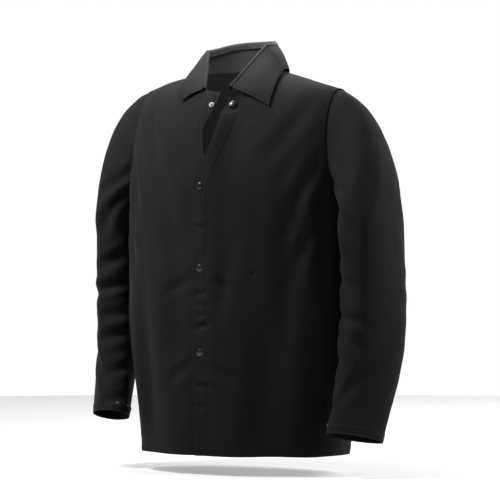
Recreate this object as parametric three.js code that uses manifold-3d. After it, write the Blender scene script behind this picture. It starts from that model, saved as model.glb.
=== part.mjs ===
// Flame-resistant cotton welding jacket with a snap front, as separate cloth pieces and snap parts.
// Millimetres, +Z up, -Y to the wearer's front, +X to the wearer's left.
// The origin is the middle of the neck opening, level with the collar seam at the nape.

import * as THREE from "three";
import Module from "manifold-3d";
import { mergeVertices } from "three/addons/utils/BufferGeometryUtils.js";

const wasm = await Module();
wasm.setup();

// ---------- driving dimensions ----------

const HEM_Z = -762; // 30 inch back length
const CHEST_HALF_WIDTH = 250;
const HEM_HALF_WIDTH = 218;
const CHEST_HALF_DEPTH = 156;
const HEM_HALF_DEPTH = 146;
const BACK_DEPTH_SHARE = 0.96; // the back is a little flatter than the front
const SECTION_POWER = 2.3; // superellipse power of the body's cross section
const TAPER_START_Z = -480;
const TAPER_POWER = 1.3;

const SHOULDER_PEAK_Z = 20;
const SHOULDER_SLOPE = 0.29;
const SHOULDER_HALF_WIDTH = 222;
const FRONT_ROUNDING = 300; // height over which the chest rounds over to the shoulder
const BACK_ROUNDING = 200;
const ROUNDING_POWER = 2.2;

const NECK_HALF_WIDTH = 80;
const NECK_DROP = 45;
const ARMPIT_Z = -270;
const ARMHOLE_POWER = 2.5;

const CLOTH = 1.6; // shell cloth with its turned seams
const FACING = 1.0;
const LAYER_GAP = 0.7; // between layers that touch
const NECK_LAYER_GAP = 1.6; // the same over the rounded chest, where flat facets stand off more
const SEAM_GAP = 0.6; // between neighbouring panels
const SHOULDER_GAP = 1.7; // from the shoulder seam's line to each panel
const ARMHOLE_GAP = 1.5;

const LAP_HALF = 18; // each front passes the centre line by this much
const LAP_LIFT = 7; // the upper front lies this far outside the lower one
const SPREAD_Z = -235; // the fronts spread apart above this height
const NECK_EDGE_Z = -44;
const FOLD_TOP_Z = -150; // the front edges swing open below this height
const FOLD_HEM_X = 150;
const FACING_WIDTH = 62;

const SNAP_PITCH_Z = [-75, -235, -395, -560];
const CUFF_SNAP_RISE = 16; // from the cuff's edge to its snaps

// ---------- small helpers ----------

const clamp01 = (value) => Math.min(Math.max(value, 0), 1);
const mix = (from, to, share) => from + (to - from) * share;
const point = (x, y, z) => new THREE.Vector3(x, y, z);
const radians = THREE.MathUtils.degToRad;

function smooth(value) {
  const share = clamp01(value);
  return share * share * (3 - 2 * share);
}

/** Evenly spaced values from start to end. */
function steps(start, end, count) {
  return Array.from({ length: count + 1 }, (_, i) => mix(start, end, i / count));
}

/** A smooth curve through stations [position, value], read at any position. */
function throughStations(stations, position) {
  const falling = stations[1][0] < stations[0][0];
  let i = 0;
  while (i < stations.length - 2 && position < stations[i + 1][0] === falling) i += 1;
  const value = (k) => stations[Math.min(Math.max(k, 0), stations.length - 1)][1];
  const share = clamp01((position - stations[i][0]) / (stations[i + 1][0] - stations[i][0]));
  const [before, from, to, after] = [value(i - 1), value(i), value(i + 1), value(i + 2)];
  const square = share * share;
  const cube = square * share;
  return (
    0.5 *
    (2 * from +
      (to - before) * share +
      (2 * before - 5 * from + 4 * to - after) * square +
      (3 * from - before - 3 * to + after) * cube)
  );
}

// ---------- solids ----------

/**
 * A closed cloth shell. pointAt(u, v) gives the outer face, with u across v pointing outward,
 * and the inner face lies thickness inside it. A round shell closes on itself along u.
 */
function clothShell(pointAt, columns, rows, thickness, round = false) {
  const nudge = 1e-3;
  const outer = [];
  const inner = [];
  for (const v of rows) {
    for (const u of columns) {
      const at = pointAt(u, v);
      const [u0, u1] = round ? [u - nudge, u + nudge] : [Math.max(u - nudge, 0), Math.min(u + nudge, 1)];
      const [v0, v1] = [Math.max(v - nudge, 0), Math.min(v + nudge, 1)];
      const along = pointAt(u1, v).sub(pointAt(u0, v));
      const up = pointAt(u, v1).sub(pointAt(u, v0));
      const normal = along.cross(up).normalize();
      outer.push(at);
      inner.push(at.clone().addScaledVector(normal, -thickness));
    }
  }
  const count = columns.length;
  const points = [...outer, ...inner];
  const index = [];
  const quad = (a, b, c, d) => index.push(a, b, c, a, c, d);
  const shift = outer.length;
  const lastColumn = round ? count : count - 1;
  for (let row = 0; row < rows.length - 1; row += 1) {
    for (let column = 0; column < lastColumn; column += 1) {
      const a = row * count + column;
      const b = row * count + ((column + 1) % count);
      quad(a, b, b + count, a + count);
      quad(shift + a, shift + a + count, shift + b + count, shift + b);
    }
  }
  for (let column = 0; column < lastColumn; column += 1) {
    const next = (column + 1) % count;
    const top = (rows.length - 1) * count;
    quad(column, shift + column, shift + next, next);
    quad(top + column, top + next, shift + top + next, shift + top + column);
  }
  if (!round) {
    for (let row = 0; row < rows.length - 1; row += 1) {
      const a = row * count;
      const b = a + count - 1;
      quad(a, a + count, shift + a + count, shift + a);
      quad(b, shift + b, shift + b + count, b + count);
    }
  }
  const geometry = new THREE.BufferGeometry();
  geometry.setAttribute("position", new THREE.Float32BufferAttribute(points.flatMap((p) => p.toArray()), 3));
  geometry.setIndex(index);
  return geometry;
}

function asSolid(geometry) {
  const bare = geometry.clone();
  bare.deleteAttribute("normal");
  bare.deleteAttribute("uv");
  const merged = mergeVertices(bare, 1e-4);
  const mesh = new wasm.Mesh({
    numProp: 3,
    vertProperties: new Float32Array(merged.attributes.position.array),
    triVerts: new Uint32Array(merged.index.array),
  });
  return new wasm.Manifold(mesh);
}

function asGeometry(solid) {
  const mesh = solid.getMesh();
  const geometry = new THREE.BufferGeometry();
  geometry.setAttribute("position", new THREE.BufferAttribute(new Float32Array(mesh.vertProperties), 3));
  geometry.setIndex(new THREE.BufferAttribute(new Uint32Array(mesh.triVerts), 1));
  return geometry;
}

/** The geometry less each cutter. */
function cutBy(geometry, cutters) {
  let solid = asSolid(geometry);
  for (const cutter of cutters) solid = solid.subtract(asSolid(cutter));
  return asGeometry(solid);
}

/** A turned piece: its profile of [radius, height] spun round the line at `at` along `normal`. */
function turned(profile, at, normal, sides = 16) {
  const outline = profile.map(([radius, height]) => new THREE.Vector2(radius, height));
  const geometry = new THREE.LatheGeometry(outline, sides);
  const turn = new THREE.Quaternion().setFromUnitVectors(point(0, 1, 0), normal);
  geometry.applyQuaternion(turn);
  geometry.translate(at.x, at.y, at.z);
  return geometry;
}

const mirrored = (pointAt) => (u, v) => {
  const p = pointAt(1 - u, v);
  p.x = -p.x;
  return p;
};

const flipped = (values) => values.map((value) => 1 - value).reverse();

// ---------- the body's surface ----------

const taper = (z) => clamp01((TAPER_START_Z - z) / (TAPER_START_Z - HEM_Z)) ** TAPER_POWER;
const halfWidth = (z) => mix(CHEST_HALF_WIDTH, HEM_HALF_WIDTH, taper(z));
const halfDepth = (z) => mix(CHEST_HALF_DEPTH, HEM_HALF_DEPTH, taper(z));
const shoulderZ = (x) => SHOULDER_PEAK_Z - SHOULDER_SLOPE * Math.abs(x);

function sectionShare(x, z) {
  const across = clamp01(Math.abs(x) / halfWidth(z));
  return (1 - across ** SECTION_POWER) ** (1 / SECTION_POWER);
}

function roundingShare(x, z, height) {
  const down = clamp01((shoulderZ(x) - z) / height);
  return (1 - (1 - down) ** ROUNDING_POWER) ** (1 / ROUNDING_POWER);
}

const frontDepth = (x, z) => halfDepth(z) * sectionShare(x, z) * roundingShare(x, z, FRONT_ROUNDING);
const backDepth = (x, z) =>
  BACK_DEPTH_SHARE * halfDepth(z) * sectionShare(x, z) * roundingShare(x, z, BACK_ROUNDING);

/** The height of the body's upper surface over the plan point (x, y), by the depth formula turned round. */
function surfaceZ(x, y) {
  const front = y < 0;
  const depth = CHEST_HALF_DEPTH * (front ? 1 : BACK_DEPTH_SHARE) * sectionShare(x, 0);
  const share = clamp01(Math.abs(y) / depth);
  const down = 1 - (1 - share ** ROUNDING_POWER) ** (1 / ROUNDING_POWER);
  return shoulderZ(x) - (front ? FRONT_ROUNDING : BACK_ROUNDING) * down;
}

/** How far out the armhole seam or side seam lies at height z. */
function sideX(z) {
  if (z < ARMPIT_Z) return halfWidth(z);
  const tipZ = shoulderZ(SHOULDER_HALF_WIDTH);
  const down = clamp01((tipZ - z) / (tipZ - ARMPIT_Z));
  return mix(SHOULDER_HALF_WIDTH, CHEST_HALF_WIDTH, down ** ARMHOLE_POWER);
}

/** The neckline's height at x, for the front or the back, and the shoulder seam beyond it. */
function topZ(x, front) {
  const across = Math.abs(x) / NECK_HALF_WIDTH;
  if (across >= 1) return shoulderZ(x);
  const round = Math.sqrt(1 - across * across);
  const side = shoulderZ(NECK_HALF_WIDTH);
  return front ? side - NECK_DROP * round ** 1.6 : side - side * round;
}

// ---------- the fronts ----------

const spread = (z) => Math.sin((Math.PI / 2) * clamp01((z - SPREAD_Z) / (NECK_EDGE_Z - SPREAD_Z)));
// each front's edge, measured towards its own side: the left front laps over, the right one under
const EDGE = {
  left: (z) => -LAP_HALF + 46 * spread(z),
  right: (z) => -LAP_HALF + 8 * spread(z) + 19 * Math.exp(-(((z + 148) / 52) ** 2)), // drawn back at the opening
};

/** The line that each front folds back along, from its edge below the neck out to the hem. */
function foldX(side, z) {
  const share = (FOLD_TOP_Z - z) / (FOLD_TOP_Z - HEM_Z);
  return mix(EDGE[side](FOLD_TOP_Z), FOLD_HEM_X, share);
}

/** How far a front stands off the body surface where it laps over the other. */
function lapLift(side, x, z) {
  if (side === "right") return 0;
  return LAP_LIFT * (1 - smooth((x - 20) / 40)) * (1 - smooth((z + 160) / 80));
}

/** A point of a front's outer face at x (towards its own side) and z. */
function frontPoint(side, x, z) {
  return point(x, -Math.max(frontDepth(x, z) + lapLift(side, x, z), SHOULDER_GAP), z);
}

/** The outward normal of a front there. */
function frontNormal(side, x, z) {
  const across = frontPoint(side, x + 1, z).sub(frontPoint(side, x - 1, z));
  const up = frontPoint(side, x, z + 1).sub(frontPoint(side, x, z - 1));
  return across.cross(up).normalize();
}

/** The point `depth` inside it, square to the cloth. */
function behindFront(side, x, z, depth) {
  return frontPoint(side, x, z).addScaledVector(frontNormal(side, x, z), -depth);
}

/** Rows of a panel: even in depth over the rounded shoulder, then even in height. */
function panelRow(v, x, top, rounding) {
  const roundedRows = 0.45;
  const peak = shoulderZ(x);
  const startDown = clamp01((peak - top) / rounding);
  if (v > 1 - roundedRows) {
    const start = (1 - (1 - startDown) ** ROUNDING_POWER) ** (1 / ROUNDING_POWER);
    const share = mix(1, start, (v - 1 + roundedRows) / roundedRows);
    return peak - rounding * (1 - (1 - share ** ROUNDING_POWER) ** (1 / ROUNDING_POWER));
  }
  return mix(HEM_Z, peak - rounding, v / (1 - roundedRows));
}

const FRONT_COLUMN_X = [0, 8, 17, 26, 34, 43, 52, 72, 97, 122, 147, 172, 194]; // at the top, from the edge
const FRONT_COLUMNS = FRONT_COLUMN_X.map((_, i) => i / (FRONT_COLUMN_X.length - 1));
const PANEL_ROWS = steps(0, 1, 20);

/** The part of a front that stays on the shoulders, outside the fold line. */
function fixedFront(side) {
  return (u, v) => {
    const neckEdge = EDGE[side](NECK_EDGE_Z);
    const share = throughStations(FRONT_COLUMN_X.map((x, i) => [FRONT_COLUMNS[i], x / 194]), u);
    const neckX = mix(neckEdge, SHOULDER_HALF_WIDTH, share);
    const z = panelRow(v, neckX, topZ(neckX, true), FRONT_ROUNDING);
    const edge = z < FOLD_TOP_Z ? foldX(side, z) + SEAM_GAP : EDGE[side](z);
    const even = Math.sin((u * Math.PI) / 2);
    const across = mix(share, even, smooth((topZ(neckX, true) - z) / 90));
    const x = mix(edge, sideX(z) - (z < ARMPIT_Z ? SEAM_GAP / 2 : 0), across);
    return frontPoint(side, x, z);
  };
}

/** The part of a front that swings open, between its edge and the fold line. */
const flapTopZ = FOLD_TOP_Z - 26;
function swingingFront(side) {
  return (u, v) => {
    const z = mix(HEM_Z, flapTopZ, v);
    return frontPoint(side, mix(EDGE[side](z), foldX(side, z), u), z);
  };
}

function frontFacing(side) {
  return (u, v) => {
    const z = mix(HEM_Z + 6, flapTopZ - 4, v);
    const edge = EDGE[side](z) + 1;
    const end = Math.min(edge + FACING_WIDTH, foldX(side, z) - 1);
    return behindFront(side, mix(edge, end, u), z, CLOTH + LAYER_GAP);
  };
}

function neckFacing(side) {
  return (u, v) => {
    const edge = EDGE[side](NECK_EDGE_Z) + 1;
    const x = mix(edge, edge + 40, u);
    const z = mix(FOLD_TOP_Z - 2, topZ(x, true) - 5, v);
    return behindFront(side, x, z, CLOTH + NECK_LAYER_GAP);
  };
}

// ---------- the back ----------

function backPoint(u, v) {
  const side = u < 0.5 ? 1 : -1;
  const toSide = Math.abs(1 - 2 * u);
  const topX = toSide < 0.4 ? (toSide / 0.4) * NECK_HALF_WIDTH : mix(80, SHOULDER_HALF_WIDTH, (toSide - 0.4) / 0.6);
  const z = panelRow(v, topX, topZ(topX, false), BACK_ROUNDING);
  const even = Math.sin((toSide * Math.PI) / 2);
  const across = mix(topX / SHOULDER_HALF_WIDTH, even, smooth((topZ(topX, false) - z) / 90));
  const x = across * (sideX(z) - (z < ARMPIT_Z ? SEAM_GAP / 2 : 0));
  return point(side * x, Math.max(backDepth(x, z), SHOULDER_GAP), z);
}

// ---------- the collar ----------

const COLLAR_END = radians(158); // round from the nape; the leaves end short of the front edges
const WING_START = radians(100);
const STAND_BACK_Z = 55;
const ROLL_SIDE = point(78, -18, 50);
const ROLL_FRONT = point(31, -100, -41);

/** The neckline, at an angle from the nape round to the front. */
function neckPoint(angle) {
  const x = NECK_HALF_WIDTH * Math.sin(angle);
  const front = Math.cos(angle) < 0;
  const z = topZ(x, front);
  const depth = front ? -frontDepth(x, z) : backDepth(x, z);
  return point(x, depth, z);
}

/** The roll line that the collar folds over: round the back of the neck, then straight to the front. */
function rollPoint(angle) {
  const turn = Math.abs(angle);
  const side = Math.sign(angle) || 1;
  if (turn > WING_START) {
    const line = ROLL_SIDE.clone().lerp(ROLL_FRONT, (turn - WING_START) / (COLLAR_END - WING_START));
    line.x *= side;
    return line;
  }
  const share = turn / WING_START;
  const quarter = (share * Math.PI) / 2;
  return point(
    side * ROLL_SIDE.x * Math.sin(quarter),
    mix(80, ROLL_SIDE.y, 1 - Math.cos(quarter)),
    mix(STAND_BACK_Z, ROLL_SIDE.z, share * share),
  );
}

/** Where the fall's outer edge lies on the shoulders and back. */
function fallEdge(angle) {
  const turn = Math.abs(angle);
  const side = Math.sign(angle) || 1;
  const share = turn / COLLAR_END;
  const x = throughStations([[0, 0], [0.25, 62], [0.45, 103], [0.65, 113], [0.82, 115], [1, 117]], share);
  const y = throughStations([[0, 96], [0.25, 80], [0.45, 34], [0.65, -24], [0.82, -64], [1, -100]], share);
  return point(side * x, y, surfaceZ(x, y) + 7);
}

/** The stand, from the neck seam up to just under the roll line. */
function standPoint(u, v) {
  const angle = mix(COLLAR_END, -COLLAR_END, u);
  const foot = neckPoint(angle);
  foot.z += 3;
  const head = rollPoint(angle);
  const front = smooth((Math.abs(angle) - WING_START) / (COLLAR_END - WING_START));
  head.z -= 3;
  const inward = mix(0, 2.5, front);
  foot.x *= 1 - inward / 80;
  const lean = foot.clone().lerp(head, v);
  return lean;
}

/** The fall, from the roll line over and down to its outer edge. */
function fallPoint(angle, v) {
  const roll = rollPoint(angle);
  const edge = fallEdge(angle);
  const outward = point(edge.x - roll.x, edge.y - roll.y, 0).normalize();
  const at = roll.clone().lerp(edge, v);
  const bulge = 6 * Math.sin(Math.PI * v);
  at.addScaledVector(outward, 3.2 + 0.4 * bulge);
  at.z += bulge;
  return at;
}

// ---------- the sleeves ----------

// stations down each arm: height, centre, half widths across and along, power, turn in degrees
const SLEEVES = {
  left: {
    z: [-300, -480, -600, -723],
    centreX: [300, 300, 298, 293],
    centreY: [-12, -4, -22, -62],
    across: [46, 46, 42, 35],
    along: [80, 72, 64, 55],
  },
  right: {
    z: [-300, -480, -594, -694],
    centreX: [293, 300, 297, 284],
    centreY: [5, 0, -22, -60],
    across: [40, 42, 40, 35],
    along: [78, 68, 60, 55],
  },
};
const SLEEVE_POWERS = [2.8, 2.6, 2.4, 2.1];
const SLEEVE_TURNS = [0, 12, 28, 45];
const SLEEVE_HEAD = 0.34; // share of the rings that shape the sleeve head
const CUFF_TILT = 0.26;

/** A ring of the sleeve round the arm at height z, at the angle round the arm. */
function sleeveRing(side, z, angle) {
  const arm = SLEEVES[side];
  const read = (values) => throughStations(arm.z.map((height, i) => [height, values[i]]), z);
  const power = 2 / read(SLEEVE_POWERS);
  const turn = radians(read(SLEEVE_TURNS));
  const across = read(arm.across) * Math.sign(Math.cos(angle)) * Math.abs(Math.cos(angle)) ** power;
  const along = -read(arm.along) * Math.sign(Math.sin(angle)) * Math.abs(Math.sin(angle)) ** power;
  const x = read(arm.centreX) + across * Math.cos(turn) + along * Math.sin(turn);
  const y = read(arm.centreY) - across * Math.sin(turn) + along * Math.cos(turn);
  const cuffZ = arm.z[3];
  const tilt = CUFF_TILT * smooth((arm.z[0] - z) / (arm.z[0] - cuffZ));
  return point(x, y, z - tilt * (y - read(arm.centreY)));
}

/** The armhole seam's ring, just outside the body panels. */
function armholeRing(angle) {
  const top = shoulderZ(SHOULDER_HALF_WIDTH);
  const z = mix(top, ARMPIT_Z, (1 - Math.cos(angle)) / 2);
  const x = sideX(z);
  const front = Math.sin(angle) > 0;
  const depth = front ? -frontDepth(x, z) : backDepth(x, z);
  return point(x + ARMHOLE_GAP, depth, z);
}

/** A sleeve's outer face: u goes round the arm from the top over the front, v goes down the arm. */
function sleevePoint(side) {
  return (u, v) => {
    const angle = 2 * Math.PI * u;
    const { z } = SLEEVES[side];
    if (v >= SLEEVE_HEAD) return sleeveRing(side, mix(z[0], z[3], (v - SLEEVE_HEAD) / (1 - SLEEVE_HEAD)), angle);
    const from = armholeRing(angle);
    const to = sleeveRing(side, z[0], angle);
    const reach = from.distanceTo(to);
    const under = (1 - Math.cos(angle)) / 2;
    const leave = point(mix(1, 0.35, under), 0, mix(-0.29, -0.94, under)).normalize();
    const first = from.clone().addScaledVector(leave, 0.27 * reach);
    const second = to.clone().add(point(0, 0, 0.45 * reach));
    return new THREE.CubicBezierCurve3(from, first, second, to).getPoint(v / SLEEVE_HEAD);
  };
}

// ---------- snaps ----------

const CAP_RADIUS = 7.5;
const POST_RADIUS = 1.6;
const HOLE_RADIUS = 2.1;
const SOCKET_RADIUS = 6.2;
const SOCKET_MOUTH = 3.1;
const SOCKET_DEPTH = 1.8;
const STUD_FLANGE_RADIUS = 5.4;
const STUD_HEAD_RADIUS = 2.6;
const SEAT = 0.45; // the gap under a flat flange on slightly curved cloth

/** The domed cap on the outer face, with its post through `layers` of cloth. */
function snapCap(at, normal, layers, seat = SEAT) {
  const dome = steps(0, 1, 5).map((share) => {
    const angle = (share * Math.PI) / 2;
    return [CAP_RADIUS * Math.cos(angle), seat + 0.7 + 1.9 * Math.sin(angle)];
  });
  dome[dome.length - 1][0] = 0;
  const post = [[0, -layers], [POST_RADIUS, -layers], [POST_RADIUS, seat], [CAP_RADIUS - 0.4, seat]];
  return turned([...post, ...dome], at, normal);
}

/** The socket ring on the inner face, `layers` below the outer face. */
function snapSocket(at, normal, layers, sag) {
  const near = -layers - sag;
  const far = near - SOCKET_DEPTH;
  const ring = [[SOCKET_MOUTH, far], [SOCKET_RADIUS - 0.5, far], [SOCKET_RADIUS, near - 0.6], [SOCKET_RADIUS, near]];
  return turned([...ring, [SOCKET_MOUTH, near], [SOCKET_MOUTH, far]], at, normal);
}

/** The stud: a flange, a waisted head, and a post through `layers` of cloth. */
function snapStud(at, normal, layers, flange, seat = SEAT) {
  const end = -layers - SEAT;
  const post = [[0, end], [POST_RADIUS, end], [POST_RADIUS, seat], [flange, seat], [flange, seat + 0.4]];
  const waist = [[2.1, seat + 0.5], [2.1, seat + 0.9]];
  const head = [[STUD_HEAD_RADIUS, seat + 1.4], [2.2, seat + 2], [0, seat + 2.2]];
  return turned([...post, ...waist, ...head], at, normal);
}

/** The eyelet behind a stud, round its post. */
function snapBack(at, normal, layers, sag, radius) {
  const near = -layers - sag;
  const bore = POST_RADIUS + 0.35;
  const ring = [[bore, near - 0.7], [radius - 0.4, near - 0.7], [radius, near - 0.3], [radius, near], [bore, near]];
  return turned([...ring, [bore, near - 0.7]], at, normal);
}

const snapHole = (at, normal) => turned([[0, -12], [HOLE_RADIUS, -12], [HOLE_RADIUS, 12], [0, 12]], at, normal, 12);

// ---------- assembly ----------

const CLOTH_BLACK = new THREE.MeshStandardMaterial({ color: 0x1b1b1c, roughness: 0.93, metalness: 0 });
const FACING_BLACK = new THREE.MeshStandardMaterial({ color: 0x161617, roughness: 0.95, metalness: 0 });
const CAP_BLACK = new THREE.MeshStandardMaterial({ color: 0x0d0d0e, roughness: 0.35, metalness: 0.3 });
const STUD_SILVER = new THREE.MeshStandardMaterial({ color: 0xb9bcc0, roughness: 0.28, metalness: 1 });

const jacket = new THREE.Group();

function add(name, geometry, material) {
  const mesh = new THREE.Mesh(geometry, material);
  mesh.name = name;
  jacket.add(mesh);
}

const capHoles = [];
const studHoles = [];

/** The four front snaps: caps and sockets on the left front, studs and backs on the right one. */
SNAP_PITCH_Z.forEach((z, i) => {
  const number = i + 1;
  const open = i === 0; // the neck snap is undone, so its halves lie apart
  const capX = open ? EDGE.left(z) + LAP_HALF : 0;
  const capAt = frontPoint("left", capX, z);
  const capNormal = frontNormal("left", capX, z);
  const studAt = frontPoint("right", 0, z);
  const studNormal = frontNormal("right", 0, z);
  const layers = CLOTH + (open ? NECK_LAYER_GAP : LAYER_GAP) + FACING;
  const sag = open ? 1 : 0.7;
  capHoles.push(snapHole(capAt, capNormal));
  studHoles.push(snapHole(studAt, studNormal));
  add(`front_snap_cap_${number}`, snapCap(capAt, capNormal, layers), CAP_BLACK);
  add(`front_snap_socket_${number}`, snapSocket(capAt, capNormal, layers, sag), STUD_SILVER);
  add(`front_snap_stud_${number}`, snapStud(studAt, studNormal, layers, STUD_FLANGE_RADIUS), STUD_SILVER);
  add(`front_snap_back_${number}`, snapBack(studAt, studNormal, layers, sag, STUD_FLANGE_RADIUS), STUD_SILVER);
});

const FLAP_COLUMNS = [0, 0.09, 0.18, 0.26, 0.35, 0.45, 0.6, 0.8, 1];

/** Fronts and facings. A front's own half is +X, so the right front is the mirror image. */
for (const side of ["left", "right"]) {
  const own = side === "left" ? (pointAt) => pointAt : mirrored;
  const columns = side === "left" ? FRONT_COLUMNS : flipped(FRONT_COLUMNS);
  const holes = side === "left" ? capHoles : studHoles;
  const flapColumns = side === "left" ? FLAP_COLUMNS : flipped(FLAP_COLUMNS);
  const panel = clothShell(own(fixedFront(side)), columns, PANEL_ROWS, CLOTH);
  const flap = clothShell(own(swingingFront(side)), flapColumns, steps(0, 1, 14), CLOTH);
  const facing = clothShell(own(frontFacing(side)), steps(0, 1, 4), steps(0, 1, 14), FACING);
  const neck = clothShell(own(neckFacing(side)), steps(0, 1, 6), steps(0, 1, 6), FACING);
  add(`${side}_front_panel`, cutBy(panel, holes.slice(0, 1)), CLOTH_BLACK);
  add(`${side}_front_flap`, cutBy(flap, holes.slice(1)), CLOTH_BLACK);
  add(`${side}_front_facing`, cutBy(facing, holes.slice(1)), FACING_BLACK);
  add(`${side}_neck_facing`, cutBy(neck, holes.slice(0, 1)), FACING_BLACK);
}

/** The inside pocket, a patch behind the left front. */
const POCKET = { left: 119, right: 221, top: -412, bottom: -562 };
add(
  "inside_pocket",
  clothShell(
    (u, v) => {
      const z = mix(POCKET.bottom, POCKET.top, v);
      const x = mix(POCKET.left, POCKET.right, u);
      return behindFront("left", x, z, CLOTH + LAYER_GAP);
    },
    steps(0, 1, 6),
    steps(0, 1, 5),
    FACING,
  ),
  FACING_BLACK,
);

add("back_panel", clothShell(backPoint, steps(0, 1, 20), PANEL_ROWS, CLOTH), CLOTH_BLACK);

add("collar_stand", clothShell(standPoint, steps(0, 1, 28), steps(0, 1, 3), CLOTH), CLOTH_BLACK);
const backFall = (u, v) => fallPoint(mix(-WING_START + 0.01, WING_START - 0.01, u), v);
add("collar_back", clothShell(backFall, steps(0, 1, 18), steps(0, 1, 4), CLOTH), CLOTH_BLACK);
const wing = (u, v) => fallPoint(mix(WING_START + 0.02, COLLAR_END, u), v);
add("left_collar_wing", clothShell(wing, steps(0, 1, 6), steps(0, 1, 4), CLOTH), CLOTH_BLACK);
add("right_collar_wing", clothShell(mirrored(wing), steps(0, 1, 6), steps(0, 1, 4), CLOTH), CLOTH_BLACK);

const CUFF_SEAT = 1.1; // the cuff is more tightly curved
const CUFF_SAG = 1.7;
const CUFF_STUD_RADIUS = 4.4;

/** Sleeves with their cuff snaps: one cap that folds over to either of two studs. */
const CUFF_SNAPS = { cap: 185, stud_1: 96, stud_2: 132 }; // degrees round the cuff
for (const side of ["left", "right"]) {
  const sign = side === "left" ? 1 : -1;
  const outer = sleevePoint(side);
  const own = side === "left" ? outer : mirrored(outer);
  const rows = [...steps(0, SLEEVE_HEAD, 5), ...steps(SLEEVE_HEAD, 1, 9).slice(1)];
  const shell = clothShell(own, steps(0, 1, 24).slice(0, -1), rows, CLOTH, true);
  const cuffZ = SLEEVES[side].z[3];
  const rise = (CUFF_SNAP_RISE * (1 - SLEEVE_HEAD)) / (SLEEVES[side].z[0] - cuffZ);
  const holes = [];
  for (const [snap, degrees] of Object.entries(CUFF_SNAPS)) {
    const u = degrees / 360;
    const v = 1 - rise;
    const at = outer(u, v);
    const round = outer(u + 0.01, v).sub(outer(u - 0.01, v));
    const down = outer(u, v + 0.01).sub(outer(u, v - 0.01));
    const normal = round.cross(down).normalize();
    at.x *= sign;
    normal.x *= sign;
    holes.push(snapHole(at, normal));
    if (snap === "cap") {
      add(`${side}_cuff_cap`, snapCap(at, normal, CLOTH, CUFF_SEAT), CAP_BLACK);
      add(`${side}_cuff_socket`, snapSocket(at, normal, CLOTH, CUFF_SAG), STUD_SILVER);
    } else {
      const number = snap.split("_")[1];
      add(`${side}_cuff_stud_${number}`, snapStud(at, normal, CLOTH, CUFF_STUD_RADIUS, CUFF_SEAT), STUD_SILVER);
      add(`${side}_cuff_back_${number}`, snapBack(at, normal, CLOTH, CUFF_SAG, CUFF_STUD_RADIUS), STUD_SILVER);
    }
  }
  add(`${side}_sleeve`, cutBy(shell, holes), CLOTH_BLACK);
}

export default jacket;
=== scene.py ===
"""A black cotton welding jacket, as worn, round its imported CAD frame. Shapes are worked in millimetres."""

import math

import bmesh
import bpy
import numpy as np
from mathutils import Matrix, Vector, noise


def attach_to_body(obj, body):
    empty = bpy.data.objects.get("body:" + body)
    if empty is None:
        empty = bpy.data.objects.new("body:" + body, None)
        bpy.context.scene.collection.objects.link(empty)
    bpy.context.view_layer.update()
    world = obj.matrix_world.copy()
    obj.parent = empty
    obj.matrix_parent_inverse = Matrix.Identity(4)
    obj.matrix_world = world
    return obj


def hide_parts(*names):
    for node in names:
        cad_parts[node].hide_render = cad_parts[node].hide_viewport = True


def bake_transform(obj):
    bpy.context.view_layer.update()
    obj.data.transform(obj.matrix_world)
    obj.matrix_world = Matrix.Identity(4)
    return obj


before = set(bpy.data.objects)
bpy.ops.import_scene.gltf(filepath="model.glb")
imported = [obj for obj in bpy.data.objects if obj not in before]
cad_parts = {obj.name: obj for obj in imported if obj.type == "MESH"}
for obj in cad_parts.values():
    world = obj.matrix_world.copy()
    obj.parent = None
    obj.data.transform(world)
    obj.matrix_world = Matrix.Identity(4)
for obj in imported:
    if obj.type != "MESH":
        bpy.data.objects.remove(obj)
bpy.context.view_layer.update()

MM = 0.001
BODY_SIDES = ("left", "right")
SIGN = {"left": 1, "right": -1}

# --- driving dimensions, as in the CAD ---

HEM_Z = -762
CHEST_HALF_WIDTH, HEM_HALF_WIDTH = 250, 218
CHEST_HALF_DEPTH, HEM_HALF_DEPTH = 156, 146
BACK_DEPTH_SHARE = 0.96
SECTION_POWER = 2.3
TAPER_START_Z, TAPER_POWER = -480, 1.3
SHOULDER_PEAK_Z, SHOULDER_SLOPE, SHOULDER_HALF_WIDTH = 20, 0.29, 222
FRONT_ROUNDING, BACK_ROUNDING, ROUNDING_POWER = 300, 200, 2.2
NECK_HALF_WIDTH, NECK_DROP = 80, 45
ARMPIT_Z, ARMHOLE_POWER = -270, 2.5
LAP_HALF, LAP_LIFT = 18, 7
SPREAD_Z, NECK_EDGE_Z = -235, -44
SPREAD = {"left": 46, "right": 8}
OPENING_Z, OPENING_DRAW, OPENING_SPAN = -148, 19, 52
SNAP_Z = (-75, -235, -395, -560)
RIGHT_SHOULDER_RISE = 8

THICKNESS = 1.0  # of the visible cloth, unless a piece is doubled or lighter
STAND_THICKNESS, FALL_THICKNESS, FACING_THICKNESS, POCKET_THICKNESS = 1.2, 1.5, 0.7, 0.8
SEAM_LAP = 0.5  # how far the front and the back each reach past the side seam
HEM_DEPTH = 20
PLACKET_WIDTH, EDGE_STITCH = 34, 4
SEAM_STITCHES = (3, 9)  # the two rows beside a seam
POCKET_MOUTH_Z, POCKET_BAR_X, POCKET_MOUTH_WIDTH = -406, 111, 78

HEM_ROW_SHARE = 0.08  # of a panel's rows, given to its hem
ROUNDED_ROW_SHARE = 0.42  # and to its rounded top
ROWS = np.linspace(0, 1, 220)


# --- small helpers ---

def mix(a, b, share):
    return a + (b - a) * share


def smooth(value):
    share = np.clip(value, 0, 1)
    return share * share * (3 - 2 * share)


def bump(distance, width):
    return np.exp(-((distance / width) ** 2))


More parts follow.
